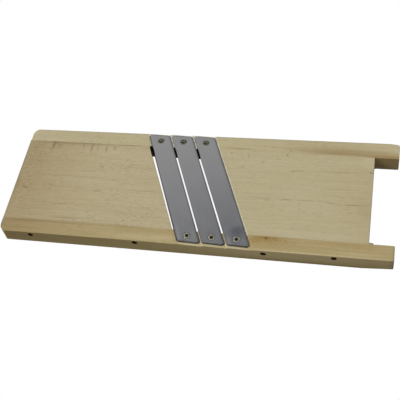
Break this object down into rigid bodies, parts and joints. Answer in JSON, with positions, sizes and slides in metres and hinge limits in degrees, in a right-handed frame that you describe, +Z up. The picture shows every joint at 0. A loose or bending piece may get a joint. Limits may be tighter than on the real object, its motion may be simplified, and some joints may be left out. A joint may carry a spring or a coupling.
{
  "type": "cabbage shredder",
  "caption": "Beech cabbage shredder board: slanted steel knives screwed across two side rails, slide beds either side, forked end",
  "frame": {"origin": "middle of the board's underside, where it rests on its two rails", "axes": "+X along the board towards its two ears, +Y across it towards the back rail, +Z up out of the face that the knives lie on"},
  "size_m": [0.5, 0.164, 0.0265],
  "materials": {
    "rail_beech": "planed beech, unvarnished",
    "bed_beech": "planed beech, unvarnished",
    "blade_steel": "ground, satin",
    "screw_steel": "dull zinc plate",
    "sunk_screw_steel": "dark, oiled"
  },
  "bodies": {
    "root": {"front_rail": "rail_beech", "back_rail": "rail_beech", "left_bed": "bed_beech", "right_bed": "bed_beech", "blade_1": "blade_steel", "blade_2": "blade_steel", "blade_3": "blade_steel", "blade_1_screw_front": "screw_steel", "blade_1_screw_back": "screw_steel", "blade_2_screw_front": "screw_steel", "blade_2_screw_back": "screw_steel", "blade_3_screw_front": "screw_steel", "blade_3_screw_back": "screw_steel", "bed_screw_front_1": "sunk_screw_steel", "bed_screw_front_2": "sunk_screw_steel", "bed_screw_front_3": "sunk_screw_steel", "bed_screw_front_4": "sunk_screw_steel", "bed_screw_back_1": "sunk_screw_steel", "bed_screw_back_2": "sunk_screw_steel", "bed_screw_back_3": "sunk_screw_steel", "bed_screw_back_4": "sunk_screw_steel"}
  },
  "joints": []
}
